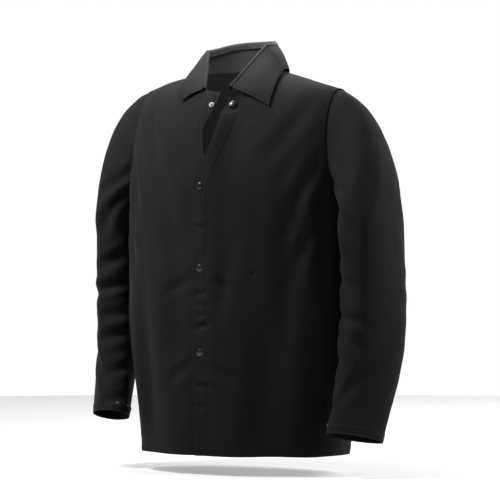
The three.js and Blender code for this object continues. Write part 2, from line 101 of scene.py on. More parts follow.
def through(positions, values, at):
    """A smooth curve through the stations, read at an array of positions."""
    positions, values = np.array(positions, float), np.array(values, float)
    if positions[0] > positions[-1]:
        positions, values = positions[::-1], values[::-1]
    slopes = np.gradient(values, positions)
    i = np.clip(np.searchsorted(positions, at) - 1, 0, len(positions) - 2)
    step = positions[i + 1] - positions[i]
    t = np.clip((at - positions[i]) / step, 0, 1)
    leaving = (2 * t**3 - 3 * t**2 + 1) * values[i] + (t**3 - 2 * t**2 + t) * slopes[i] * step
    arriving = (3 * t**2 - 2 * t**3) * values[i + 1] + (t**3 - t**2) * slopes[i + 1] * step
    return leaving + arriving


def soft_noise(points, scale, seed, stretch=(1, 1, 1)):
    """Smooth noise from -1 to 1 at each point, with lumps about scale millimetres across."""
    flat = points.reshape(-1, 3) * np.array(stretch) / scale + seed * 7.31
    return np.array([noise.noise(Vector(p)) for p in flat]).reshape(points.shape[:-1])


def lengths_along(line):
    """How far along a line of points each one lies."""
    return np.concatenate([[0], np.cumsum(np.linalg.norm(np.diff(line, axis=0), axis=1))])


def read_at(place, along, line):
    """The line's point at a distance along it."""
    return np.array([np.interp(place, along, line[:, k]) for k in range(3)])


def shade_smooth(mesh, sharp_degrees=180):
    mesh.polygons.foreach_set("use_smooth", [True] * len(mesh.polygons))
    mesh.set_sharp_from_angle(angle=math.radians(sharp_degrees))


def add_object(name, data):
    obj = bpy.data.objects.new(name, data)
    bpy.context.collection.objects.link(obj)
    return obj


# --- the body's surface ---

def taper(z):
    return np.clip((TAPER_START_Z - z) / (TAPER_START_Z - HEM_Z), 0, 1) ** TAPER_POWER


def half_width(z):
    return mix(CHEST_HALF_WIDTH, HEM_HALF_WIDTH, taper(z))


def shoulder_z(x):
    return SHOULDER_PEAK_Z - SHOULDER_SLOPE * np.abs(x)


def section_share(x, z):
    across = np.clip(np.abs(x) / half_width(z), 0, 1)
    return (1 - across**SECTION_POWER) ** (1 / SECTION_POWER)


def rounding_share(x, z, height):
    down = np.clip((shoulder_z(x) - z) / height, 0, 1)
    return (1 - (1 - down) ** ROUNDING_POWER) ** (1 / ROUNDING_POWER)


def depth(x, z, front):
    half = mix(CHEST_HALF_DEPTH, HEM_HALF_DEPTH, taper(z)) * (1 if front else BACK_DEPTH_SHARE)
    return half * section_share(x, z) * rounding_share(x, z, FRONT_ROUNDING if front else BACK_ROUNDING)


def surface_z(x, y):
    """The height of the shoulders and chest over the plan point (x, y)."""
    front = y < 0
    half = CHEST_HALF_DEPTH * np.where(front, 1, BACK_DEPTH_SHARE) * section_share(x, np.zeros_like(x))
    share = np.clip(np.abs(y) / half, 0, 1)
    down = 1 - (1 - share**ROUNDING_POWER) ** (1 / ROUNDING_POWER)
    return shoulder_z(x) - np.where(front, FRONT_ROUNDING, BACK_ROUNDING) * down


def side_x(z):
    tip = shoulder_z(SHOULDER_HALF_WIDTH)
    down = np.clip((tip - z) / (tip - ARMPIT_Z), 0, 1)
    armhole = mix(SHOULDER_HALF_WIDTH, CHEST_HALF_WIDTH, down**ARMHOLE_POWER)
    return np.where(z < ARMPIT_Z, half_width(z), armhole)


def top_z(x, front):
    across = np.clip(np.abs(x) / NECK_HALF_WIDTH, 0, 1)
    arc = np.sqrt(1 - across * across)
    side = shoulder_z(NECK_HALF_WIDTH)
    neck = side - NECK_DROP * arc**1.6 if front else side - side * arc
    return np.where(np.abs(x) < NECK_HALF_WIDTH, neck, shoulder_z(x))


def spread(z):
    return np.sin(np.pi / 2 * np.clip((z - SPREAD_Z) / (NECK_EDGE_Z - SPREAD_Z), 0, 1))


def front_edge(side, z):
    """Where a front's edge lies, measured towards its own side."""
    edge = -LAP_HALF + SPREAD[side] * spread(z)
    return edge if side == "left" else edge + OPENING_DRAW * bump(z - OPENING_Z, OPENING_SPAN)


def panel_rows(x, top, rounding, v):
    """Heights up a panel at each column: even below, and even in depth over the rounded top."""
    start = rounding_share(x, top, rounding)
    rounded_from = 1 - ROUNDED_ROW_SHARE
    share = mix(1, start, np.clip((v - rounded_from) / ROUNDED_ROW_SHARE, 0, 1))
    upper = shoulder_z(x) - rounding * (1 - (1 - share**ROUNDING_POWER) ** (1 / ROUNDING_POWER))
    hem_top = HEM_Z + HEM_DEPTH + 4
    hem = mix(HEM_Z, hem_top, v / HEM_ROW_SHARE)
    lower = mix(hem_top, shoulder_z(x) - rounding, (v - HEM_ROW_SHARE) / (rounded_from - HEM_ROW_SHARE))
    return np.where(v < HEM_ROW_SHARE, hem, np.where(v > rounded_from, upper, lower))


# --- cloth grids ---

class Cloth:
    """A sheet as a grid of points, rows by columns, with its outward normals."""

    def __init__(self, points, outward=1, closed=False):
        self.points = points
        self.outward = outward
        self.closed = closed

    def normals(self):
        p = self.points
        if self.closed:
            p = np.concatenate([p[:, -2:], p, p[:, :2]], 1)
        normal = np.cross(np.gradient(p, axis=1), np.gradient(p, axis=0)) * self.outward
        normal /= np.maximum(np.linalg.norm(normal, axis=2, keepdims=True), 1e-9)
        return normal[:, 2:-2] if self.closed else normal

    def push(self, distance):
        self.points = self.points + self.normals() * distance[..., None]

    def beside(self, edge, distance, start=0.0, end=1.0):
        """Points and normals on the sheet at a distance in from one edge: left, right, bottom or top."""
        points, normals = self.points, self.normals()
        if edge in ("bottom", "top"):
            points, normals = points.transpose(1, 0, 2), normals.transpose(1, 0, 2)
        if edge in ("right", "top"):
            points, normals = points[:, ::-1], normals[:, ::-1]
        lines, ways = [], []
        for line, normal in zip(points, normals):
            along = lengths_along(line)
            if along[-1] < distance + 1:
                continue
            lines.append(read_at(distance, along, line))
            ways.append(read_at(distance, along, normal))
        a, b = int(start * len(lines)), int(end * len(lines))
        return np.array(lines)[a:b], np.array(ways)[a:b]

    def build(self, name, material, thickness=THICKNESS):
        rows, columns = self.points.shape[:2]
        mesh = bpy.data.meshes.new(name)
        index = np.arange(rows * columns).reshape(rows, columns)
        if self.closed:
            index = np.concatenate([index, index[:, :1]], 1)
        quads = np.stack([index[:-1, :-1], index[:-1, 1:], index[1:, 1:], index[1:, :-1]], -1).reshape(-1, 4)
        if self.outward < 0:
            quads = quads[:, ::-1]
        mesh.from_pydata((self.points.reshape(-1, 3) * MM).tolist(), [], quads.tolist())
        self._grain(mesh, columns, quads)
        mesh.materials.append(material)
        obj = add_object(name, mesh)
        thicken = obj.modifiers.new("thickness", "SOLIDIFY")
        thicken.thickness = thickness * MM
        thicken.offset = -1
        apply_modifiers(obj)
        return obj

    def _grain(self, mesh, columns, quads):
        """A UV map in metres along the cloth's own grain, for the weave."""
        p = self.points
        if self.closed:
            p = np.concatenate([p, p[:, :1]], 1)
        steps = (np.linalg.norm(np.diff(p, axis=axis), axis=2).mean(1 - axis) for axis in (1, 0))
        across, up = (np.concatenate([[0], np.cumsum(step)]) for step in steps)
        layer = mesh.uv_layers.new(name="grain")
        column = quads % columns
        row = quads // columns
        wraps = self.closed & (column.max(1, keepdims=True) - column.min(1, keepdims=True) > 1)
        column = np.where(wraps & (column == 0), columns, column)
        grain = np.stack([across[column], up[row]], -1) * MM
        layer.data.foreach_set("uv", grain.reshape(-1).astype(np.float32))


def apply_modifiers(obj):
    graph = bpy.context.evaluated_depsgraph_get()
    mesh = bpy.data.meshes.new_from_object(obj.evaluated_get(graph))
    obj.modifiers.clear()
    obj.data = mesh
    mesh.name = obj.name
    shade_smooth(mesh, 50)


def crease(flat, fold):
    """One fold on the cloth's flat coordinates: a valley that fades at its ends, between soft ridges."""
    start, end, deep, wide = fold
    a, b = np.array(start, float), np.array(end, float)
    along = b - a
    t = ((flat - a) @ along) / (along @ along)
    offset = (flat - a - t[..., None] * along) @ np.array([-along[1], along[0]]) / np.linalg.norm(along)
    offset = offset + 0.12 * wide * np.sin(3.1 * t + a[1] / 17)
    past = np.maximum(np.abs(t - 0.5) - 0.5, 0) * np.linalg.norm(along)
    fade = np.sin(np.pi * np.clip(t, 0.04, 0.96)) ** 0.6 * bump(past, 8)
    ridges = bump(offset - 1.9 * wide, wide) + bump(offset + 1.9 * wide, wide)
    return -deep * fade * (bump(offset, wide) - 0.45 * ridges)


def creases(flat, folds):
    return sum(crease(flat, fold) for fold in folds)


def flat_across(cloth):
    """Each point as its distance across the cloth from the first column, and its height."""
    steps = np.linalg.norm(np.diff(cloth.points, axis=1), axis=2)
    across = np.concatenate([np.zeros((len(steps), 1)), np.cumsum(steps, axis=1)], 1)
    return np.stack([across, cloth.points[..., 2]], -1)


def hang_share(z, top, reach):
    """How freely the cloth hangs, growing from 0 at the top of the stretch to 1 below it."""
    return smooth((top - z) / reach)


def hem_relief(rise, hem_depth):
    """A turned hem stands proud of the cloth as far as its row of stitches, which draws the cloth in."""
    return 0.6 * (1 - smooth((rise - hem_depth + 1) / 3)) - 0.5 * bump(rise - hem_depth, 1.8)


def settle(points):
    """The wearer's right shoulder sits a little higher."""
    raised = smooth((-points[..., 0] - 60) / 120) * smooth((points[..., 2] + 230) / 150)
    return points + RIGHT_SHOULDER_RISE * raised[..., None] * np.array([0, 0, 1])


# --- materials ---

def link(tree, source, target):
    tree.links.new(source, target)


def new_material(name, color, roughness, metallic=0.0):
    material = bpy.data.materials.new(name)
    material.use_nodes = True
    shader = material.node_tree.nodes["Principled BSDF"]
    shader.inputs["Base Color"].default_value = (*color, 1)
    shader.inputs["Roughness"].default_value = roughness
    shader.inputs["Metallic"].default_value = metallic
    return material, material.node_tree, shader


def node(tree, kind, **values):
    made = tree.nodes.new(kind)
    for key, value in values.items():
        if key in made.inputs:
            made.inputs[key].default_value = value
        else:
            setattr(made, key, value)
    return made


def texture(tree, kind, vector, **values):
    made = node(tree, kind, **values)
    link(tree, vector, made.inputs["Vector"])
    return made.outputs["Fac"]


def remap(tree, value, **limits):
    made = node(tree, "ShaderNodeMapRange")
    for key, limit in limits.items():
        made.inputs[key.replace("_", " ").title()].default_value = limit
    link(tree, value, made.inputs["Value"])
    return made.outputs["Result"]


def combine(tree, operation, a, b, **values):
    made = node(tree, "ShaderNodeMath", operation=operation, **values)
    link(tree, a, made.inputs[0])
    link(tree, b, made.inputs[1])
    return made.outputs["Value"]


def relief(tree, height, strength, distance):
    made = node(tree, "ShaderNodeBump", Strength=strength, Distance=distance)
    link(tree, height, made.inputs["Height"])
    return made


TWILL_ANGLE = math.radians(63)
FADED = (0.045, 0.045, 0.047, 1)
MIX_FACTOR, MIX_A, MIX_B, MIX_RESULT = 0, 6, 7, 2  # the colour mix's sockets, which share their names


def cloth_material(name, dark, light, sheen):
    """Piece-dyed cotton twill: diagonal wales, slubby yarns, faded high spots and a little lint."""
    material, tree, shader = new_material(name, dark, 0.9)
    shader.inputs["Specular IOR Level"].default_value = 0.1
    shader.inputs["Sheen Weight"].default_value = sheen
    shader.inputs["Sheen Roughness"].default_value = 0.55
    shader.inputs["Sheen Tint"].default_value = (0.55, 0.56, 0.6, 1)
    place = node(tree, "ShaderNodeTexCoord")
    grain, whole = place.outputs["UV"], place.outputs["Object"]
    turned_grain = node(tree, "ShaderNodeMapping")
    turned_grain.inputs["Rotation"].default_value = (0, 0, TWILL_ANGLE)
    link(tree, grain, turned_grain.inputs["Vector"])
    wave, speckle = "ShaderNodeTexWave", "ShaderNodeTexNoise"
    wales = texture(
        tree, wave, turned_grain.outputs["Vector"], bands_direction="X",
        **{"Scale": 290.0, "Distortion": 0.6, "Detail": 1.0, "Detail Scale": 2.0},
    )
    weft = texture(tree, wave, grain, Scale=420.0, Distortion=0.8, bands_direction="Y")
    slubs = texture(tree, speckle, grain, Scale=900.0, Detail=2.0)
    fade = texture(tree, speckle, whole, Scale=9.0, Detail=5.0, Roughness=0.6)
    lint = texture(tree, speckle, whole, Scale=1400.0, Detail=1.0)
    rumple = texture(tree, speckle, whole, Scale=70.0, Detail=3.0)
    ramp = node(tree, "ShaderNodeValToRGB")
    for stop, position, color in zip(ramp.color_ramp.elements, (0.35, 0.75), (dark, light)):
        stop.position = position
        stop.color = (*color, 1)
    link(tree, fade, ramp.inputs["Fac"])
    specks = remap(tree, lint, from_min=0.76, from_max=0.8, to_max=0.35)
    worn = node(tree, "ShaderNodeAttribute", attribute_name="wear")
    amount = combine(tree, "ADD", specks, worn.outputs["Fac"], use_clamp=True)
    tint = node(tree, "ShaderNodeMix", data_type="RGBA")
    tint.inputs[MIX_B].default_value = FADED
    link(tree, amount, tint.inputs[MIX_FACTOR])
    link(tree, ramp.outputs["Color"], tint.inputs[MIX_A])
    link(tree, tint.outputs[MIX_RESULT], shader.inputs["Base Color"])
    link(tree, remap(tree, fade, to_min=0.78, to_max=0.97), shader.inputs["Roughness"])
    weave = combine(tree, "ADD", combine(tree, "MULTIPLY", wales, weft), slubs)
    woven = relief(tree, weave, strength=0.55, distance=0.00022)
    rumpled = relief(tree, rumple, strength=0.3, distance=0.0008)
    link(tree, woven.outputs["Normal"], rumpled.inputs["Normal"])
    link(tree, rumpled.outputs["Normal"], shader.inputs["Normal"])
    return material


def metal_material(name, color, roughness, metallic, scratch):
    """Pressed snap metal: fine handling scratches and a little dulling."""
    material, tree, shader = new_material(name, color, roughness, metallic)
    place = node(tree, "ShaderNodeTexCoord")
    marks = texture(tree, "ShaderNodeTexNoise", place.outputs["Object"], Scale=900.0, Detail=6.0)
    dulled = remap(tree, marks, to_min=roughness - 0.1, to_max=roughness + 0.18)
    link(tree, dulled, shader.inputs["Roughness"])
    link(tree, relief(tree, marks, scratch, 0.00006).outputs["Normal"], shader.inputs["Normal"])
    return material


SHELL = cloth_material("shell_cotton", (0.0135, 0.0135, 0.0138), (0.0195, 0.0195, 0.0198), sheen=0.04)
LINING = cloth_material("facing_cotton", (0.011, 0.011, 0.0115), (0.015, 0.015, 0.0155), sheen=0.03)
THREAD = cloth_material("cotton_thread", (0.019, 0.019, 0.0195), (0.027, 0.027, 0.028), sheen=0.15)
CAP = metal_material("black_enamel", (0.004, 0.004, 0.0045), 0.26, 0.0, 0.25)
CAP.node_tree.nodes["Principled BSDF"].inputs["Coat Weight"].default_value = 0.15
SILVER = metal_material("nickel_plate", (0.17, 0.17, 0.175), 0.5, 1.0, 0.3)


def mark_wear(obj, *rules):
    """Writes how faded each point is, the sum of some functions of its place in millimetres."""
    at = np.array([v.co for v in obj.data.vertices]) / MM
    worn = np.clip(sum((rule(at) for rule in rules), np.zeros(len(at))), 0, 0.5)
    attribute = obj.data.attributes.new("wear", "FLOAT", "POINT")
    attribute.data.foreach_set("value", worn.astype(np.float32))


def hem_wear(p):
    return 0.35 * bump(p[:, 2] - HEM_Z, 2.5)


# --- attaching to bodies ---


def bend_between():
    """Returns a step that bakes a sheet's placement into its mesh; it does not attach the sheet to a body."""
    return lambda obj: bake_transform(obj)


def attach_front():
    """For a front's cloth: bakes its placement, as bend_between does; no body is attached."""
    return bend_between()


def attach_sleeve():
    """For a sleeve's cloth: bakes its placement, as bend_between does; no body is attached."""
    return bend_between()


def attach_fall():
    """For the collar's falls: bakes their placement, as bend_between does; no body is attached."""
    return bend_between()


def attach_torso(obj):
    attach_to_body(obj, "torso")


def fit(obj, attach, pieces, wear=()):
    """Fades a sheet's edges, runs its attach step and hides the CAD pieces it stands for."""
    mark_wear(obj, *wear)
    attach(obj)
    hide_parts(*pieces)


# --- stitching ---

def stitches(name, runs, attach, length=3.0, gap=1.1):
    """Rows of lockstitch along each run of (points, normals), as one object; each end dips into the cloth."""
    ring, radius, sunk, raised = 5, 0.33, 0.15, 0.18
    points, faces = [], []
    for line, normals in runs:
        along = lengths_along(line)
        for begin in np.arange(0.5, along[-1] - length, length + gap):
            first, last = read_at(begin, along, line), read_at(begin + length, along, line)
            up = read_at(begin + length / 2, along, normals)
            way = (last - first) / max(np.linalg.norm(last - first), 1e-9)
            side = np.cross(way, up)
            base = len(points)
            points += [first - sunk * up, last - sunk * up]
            for share in (0.3, 0.7):
                centre = mix(first, last, share) + raised * up
                for k in range(ring):
                    angle = 2 * math.pi * k / ring
                    points.append(centre + radius * (math.cos(angle) * side + math.sin(angle) * up))
            for k in range(ring):
                a, b = base + 2 + k, base + 2 + (k + 1) % ring
                faces += [(base, b, a), (a, b, b + ring, a + ring), (base + 1, a + ring, b + ring)]
    mesh = bpy.data.meshes.new(name)
    mesh.from_pydata((np.array(points) * MM).tolist(), [], faces)
    shade_smooth(mesh)
    mesh.materials.append(THREAD)
    obj = add_object(name, mesh)
    attach(obj)
    return obj


# --- the fronts ---

PLACKET_COLUMNS = np.linspace(0, 0.17, 30)
SIDE_COLUMNS = mix(0.17, 1, np.sin(np.linspace(0, np.pi / 2, 92)))[1:]
COLUMN_SHARES = np.concatenate([PLACKET_COLUMNS, SIDE_COLUMNS])


def front_grid(side, shares, rows):
    neck_x = mix(front_edge(side, NECK_EDGE_Z), SHOULDER_HALF_WIDTH, shares)[None, :]
    top = top_z(neck_x, True)
    z = panel_rows(neck_x, top, FRONT_ROUNDING, rows[:, None])
    x = mix(front_edge(side, z), side_x(z), shares[None, :])
    return front_points(side, x, z)


def front_points(side, x, z):
    lift = LAP_LIFT * (1 - smooth((x - 20) / 40)) * (1 - smooth((z + 160) / 80)) if side == "left" else 0
    y = SEAM_LAP - depth(x, z, True) - lift
    return np.stack([x, y, z], -1)


# each fold: start and end as (distance from the front edge, height), how deep and how wide
FRONT_FOLDS = {
    "left": (
        ((262, -175), (196, -330), 6.0, 14),
        ((280, -235), (214, -420), 4.5, 13),
        ((232, -70), (150, -190), 3.0, 16),
        ((203, -150), (196, -640), 5.0, 20),
        ((282, -300), (262, -480), 4.0, 12),
        ((160, -480), (138, -740), 4.0, 22),
        ((246, -470), (236, -745), 4.5, 17),
        ((95, -330), (60, -500), 2.2, 16),
        ((36, -255), (88, -300), 1.8, 9),
        ((36, -415), (96, -440), 1.8, 9),
        ((36, -585), (92, -615), 1.8, 10),
        ((75, -120), (120, -215), 1.2, 18),
        ((5, -312), (38, -318), 1.6, 5),
        ((5, -448), (40, -441), 2.2, 6),
        ((8, -486), (36, -490), 1.6, 5),
        ((5, -512), (44, -503), 2.2, 6),
        ((5, -622), (42, -630), 2.0, 6),
        ((5, -668), (36, -664), 1.6, 6),
    ),
    "right": (
        ((258, -170), (200, -300), 5.0, 14),
        ((278, -240), (216, -400), 4.0, 13),
        ((230, -75), (140, -190), 3.0, 16),
        ((190, -400), (158, -720), 4.5, 22),
        ((255, -430), (238, -745), 4.5, 18),
        ((92, -300), (70, -590), 2.4, 20),
        ((36, -250), (100, -295), 2.0, 9),
        ((38, -412), (110, -446), 2.0, 10),
        ((38, -580), (104, -620), 2.0, 10),
        ((150, -210), (90, -330), 2.6, 16),
    ),
}


def front_hang(side, p, across):
    """Slack of the hanging cloth: a deep wave below the chest, the left front's sag, and uneven lumps."""
    x, z = p[..., 0], p[..., 2]
    edge = x - front_edge(side, z)
    wave = np.sin(x / 24 + 0.9 + z / 400) * smooth(edge / 60) * (1 - smooth((x - 190) / 30))
    push = 3.2 * hang_share(z, -430, 330) * wave
    push += 2.0 * soft_noise(p, 95, 3 if side == "left" else 5, (1, 1, 0.45)) * smooth(edge / 50)
    push += 0.5 * soft_noise(p, 26, 8, (1, 1, 0.6))
    if side == "left":
        push += hang_share(z, -250, 250) * (5 * bump(across - 80, 40) - 6 * bump(across - 168, 45))
        push -= 3 * bump(np.hypot(x - POCKET_BAR_X, z - POCKET_MOUTH_Z), 4)
    return push


def placket_relief(side, x, z):
    """The doubled edge and its stitch rows; on the lap also the pull of each snap and the puckers."""
    edge = x - front_edge(side, z)
    push = 0.9 * (1 - smooth((edge - PLACKET_WIDTH) / 5)) - 0.9 * bump(edge - PLACKET_WIDTH, 2.2)
    push -= 0.45 * bump(edge - EDGE_STITCH, 1.6)
    if side == "right":
        return push - 3.0 * spread(z) * bump(edge, 14)
    for snap in SNAP_Z[1:]:
        push -= 1.3 * bump(np.hypot(x, z - snap), 12)
        push += 0.8 * bump(z - snap - 3, 6) * bump(np.abs(x) - 15, 9)
    ripple = np.sin(z / 8.5 + 1.5 * np.sin(z / 47)) * (0.45 + 0.3 * np.sin(z / 31))
    push += 0.75 * ripple * bump(edge - PLACKET_WIDTH / 2, 15) * (1 - smooth((z + 215) / 40))
    push += spread(z) ** 1.5 * (7.5 * bump(edge, 20) - 2.2 * bump(edge - 46, 20))
    return push - 1.5 * bump(z + 160, 60) * bump(edge - 60, 24)


def shape_front(side, cloth):
    """Folds, the lap's puckers, the hem's turned edge and the rolled neck corner."""
    p = cloth.points
    x, z = p[..., 0], p[..., 2]
    edge = x - front_edge(side, z)
    flat = flat_across(cloth)
    push = 1.2 * creases(flat, FRONT_FOLDS[side]) + front_hang(side, p, flat[..., 0])
    push += placket_relief(side, x, z) + hem_relief(z - HEM_Z, HEM_DEPTH)
    push += 0.35 * np.sin(x / 4.6) * bump(z - HEM_Z - HEM_DEPTH / 2, 9) * soft_noise(p, 40, 2)
    keep_in = smooth((x - side_x(z) + 14) / 12)
    cloth.push(push * (1 - keep_in))
    if side == "left":
        corner = bump(x - 38, 26) * smooth((z + 104) / 48)
        cloth.points = cloth.points + corner[..., None] * np.array([3, -3, -24])
        drawn = 8 * bump(edge, 26) * bump(z + 140, 55)
    else:
        drawn = 8 * bump(edge, 20) * bump(z + 114, 24)
    cloth.points = cloth.points + drawn[..., None] * np.array([1, 0, 0])
    return cloth


def mirrored_if(side, cloth):
    if side == "right":
        cloth.points = settle(cloth.points * np.array([-1, 1, 1]))
        cloth.outward = -cloth.outward
    return cloth


def pocket_runs(cloth):
    """The stitches that hold the inside pocket's mouth, and the bar tack at its front end."""
    normals = cloth.normals()
    row = int(np.argmin(np.abs(cloth.points[:, 0, 2] - POCKET_MOUTH_Z)))
    x = cloth.points[row, :, 0]
    mouth = (x > POCKET_BAR_X) & (x < POCKET_BAR_X + POCKET_MOUTH_WIDTH)
    runs = [(cloth.points[row][mouth], normals[row][mouth])]
    column = int(np.argmin(np.abs(x - POCKET_BAR_X)))
    rows = np.abs(cloth.points[:, column, 2] - cloth.points[row, column, 2]) < 5
    for step in (-1, 0, 1):
        runs.append((cloth.points[rows, column] + [0.7 * step, 0, 0], normals[rows, column]))
    return runs


def make_fronts():
    for side in BODY_SIDES:
        cloth = mirrored_if(side, shape_front(side, Cloth(front_grid(side, COLUMN_SHARES, ROWS))))
        obj = cloth.build(f"{side}_front", SHELL)
        edge_wear = lambda p: 0.3 * bump(SIGN[side] * p[:, 0] - front_edge(side, p[:, 2]), 2.2)
        pieces = [f"{side}_front_panel", f"{side}_front_flap"]
        fit(obj, attach_front(), pieces, wear=[hem_wear, edge_wear])
        runs = [cloth.beside("left", inset) for inset in (PLACKET_WIDTH, EDGE_STITCH)]
        runs.append(cloth.beside("bottom", HEM_DEPTH))
        if side == "left":
            runs += pocket_runs(cloth)
        thread = stitches(f"{side}_front_topstitch", runs, attach_front())
        facing = make_facing(side)
        for seam, edge, start in (("shoulder", "top", 0.28), ("armhole", "right", 0.52)):
            runs = [cloth.beside(edge, inset, start) for inset in SEAM_STITCHES]
            stitches(f"{side}_{seam}_topstitch", runs, attach_torso)


FACING_COLUMNS, FACING_ROWS = np.linspace(0.004, 0.29, 44), np.linspace(0.008, 0.97, 200)
FACING_INSET = 1.5


def make_facing(side):
    """The inner layer behind a front's edge."""
    cloth = shape_front(side, Cloth(front_grid(side, FACING_COLUMNS, FACING_ROWS)))
    cloth.push(np.full(cloth.points.shape[:2], -FACING_INSET))
    mirrored_if(side, cloth)
    obj = cloth.build(f"{side}_facing", LINING, FACING_THICKNESS)
    pieces = [f"{side}_front_facing", f"{side}_neck_facing"]
    fit(obj, attach_front(), pieces)
    return obj


# --- the back ---

# each fold: start and end as (distance from the middle, height), how deep and how wide
BACK_FOLDS = (
    ((290, -190), (150, -350), 6, 16),
    ((295, -250), (190, -460), 5, 15),
    ((120, -380), (100, -720), 4, 24),
    ((240, -430), (215, -745), 4.5, 18),
    ((245, -75), (120, -185), 4, 18),
    ((60, -420), (40, -640), 2.6, 20),
)
MIDDLE_BACK_FOLDS = (
    ((-75, -36), (80, -30), 2.0, 11),
    ((-60, -330), (95, -372), 2.4, 14),
    ((90, -250), (-80, -285), 2.0, 13),
)


def make_back():
    half = np.sin(np.linspace(0, np.pi / 2, 100))
    shares = np.concatenate([half[::-1], -half[1:]])[None, :]
    top_x = SHOULDER_HALF_WIDTH * np.abs(shares)
    z = panel_rows(top_x, top_z(top_x, False), BACK_ROUNDING, ROWS[:, None])
    x = shares * side_x(z)
    cloth = Cloth(np.stack([x, depth(x, z, False) - SEAM_LAP, z], -1))
    p = cloth.points
    push = 2.6 * soft_noise(p, 120, 11, (1, 1, 0.35)) + 0.6 * soft_noise(p, 30, 12, (1, 1, 0.6))
    flat = np.stack([x * (1 + 0.25 * smooth((np.abs(x) - 150) / 90)), z], -1)
    for start, end, deep, wide in BACK_FOLDS:
        for sign in (1, -1):
            push += crease(flat, (start * np.array([sign, 1]), end * np.array([sign, 1]), deep, wide))
    push += creases(flat, MIDDLE_BACK_FOLDS)
    push += 3.4 * hang_share(z, -400, 360) * np.sin(x / 27 + 0.4)
    push += hem_relief(z - HEM_Z, HEM_DEPTH)
    cloth.push(push * smooth((side_x(z) - np.abs(x)) / 14))
    cloth.points = settle(cloth.points)
    obj = cloth.build("back", SHELL)
    fit(obj, attach_torso, ["back_panel"], wear=[hem_wear])
    runs = [cloth.beside("bottom", HEM_DEPTH)]
    for inset, start, end in ((6, 0, 0.55), (3, 0.56, 1)):  # the side seams, then the armholes
        runs += [cloth.beside(edge, inset, start, end) for edge in ("left", "right")]
    thread = stitches("back_topstitch", runs, attach_torso)


# --- the sleeves ---

ARM = {
    "left": dict(z=(-300, -480, -600, -723), x=(300, 300, 298, 293), y=(-12, -4, -22, -62),
                 across=(46, 46, 42, 35), along=(80, 72, 64, 55)),
    "right": dict(z=(-300, -480, -594, -694), x=(293, 300, 297, 284), y=(5, 0, -22, -60),
                  across=(40, 42, 40, 35), along=(78, 68, 60, 55)),
}
ARM_POWERS = (2.8, 2.6, 2.4, 2.1)
ARM_TURNS = (0, 12, 28, 45)
SLEEVE_HEAD = 0.34
HEAD_LIFT = {"left": -0.26, "right": -0.14}  # the slope of the sleeve head as it leaves the shoulder
HEAD_PUFF = {"left": 0.28, "right": 0.31}
TUCK_REACH = 560  # how far a row below 0 goes inside the armhole, in millimetres for each unit
CUFF_TILT = 0.26
CUFF_HEM = 18


def arm_ring(side, z, angle):
    arm = ARM[side]
    power = 2 / through(arm["z"], ARM_POWERS, z)
    turn = np.radians(through(arm["z"], ARM_TURNS, z))
    cos, sin = np.cos(angle), np.sin(angle)
    across = through(arm["z"], arm["across"], z) * np.sign(cos) * np.abs(cos) ** power
    along = -through(arm["z"], arm["along"], z) * np.sign(sin) * np.abs(sin) ** power
    middle_y = through(arm["z"], arm["y"], z)
    x = through(arm["z"], arm["x"], z) + across * np.cos(turn) + along * np.sin(turn)
    y = middle_y - across * np.sin(turn) + along * np.cos(turn)
    tilt = CUFF_TILT * smooth((arm["z"][0] - z) / (arm["z"][0] - arm["z"][3]))
    return np.stack([x, y, z - tilt * (y - middle_y)], -1)


def armhole_ring(angle):
    top = shoulder_z(SHOULDER_HALF_WIDTH)
    z = mix(top, ARMPIT_Z, (1 - np.cos(angle)) / 2)
    x = side_x(z)
    front = np.sin(angle) > 0
    y = np.where(front, -depth(x, z, True), depth(x, z, False))
    return np.stack([x - 5, y * 0.965, z - 1.5], -1)  # a little inside the panels


def sleeve_grid(side, angles, rows):
    angle, v = np.meshgrid(angles, rows)
    top_height, cuff_height = ARM[side]["z"][0], ARM[side]["z"][3]
    down = np.clip((v - SLEEVE_HEAD) / (1 - SLEEVE_HEAD), 0, 1)
    lower = arm_ring(side, mix(top_height, cuff_height, down), angle)
    start = armhole_ring(angle)
    end = arm_ring(side, np.full(angle.shape, float(top_height)), angle)
    reach = np.linalg.norm(end - start, axis=-1, keepdims=True)
    under = (1 - np.cos(angle)) / 2
    leave = np.stack([mix(1, 0.35, under), np.zeros(angle.shape), mix(HEAD_LIFT[side], -0.94, under)], -1)
    leave /= np.linalg.norm(leave, axis=-1, keepdims=True)
    first = start + mix(HEAD_PUFF[side], 0.27, under)[..., None] * reach * leave
    second = end + 0.45 * reach * np.array([0, 0, 1])
    t = np.clip(v / SLEEVE_HEAD, 0, 1)[..., None]
    head = (1 - t) ** 3 * start + 3 * (1 - t) ** 2 * t * first + 3 * (1 - t) * t**2 * second + t**3 * end
    head = np.where((v < 0)[..., None], start + TUCK_REACH * v[..., None] * leave, head)
    return np.where((v >= SLEEVE_HEAD)[..., None], lower, head), angle, v


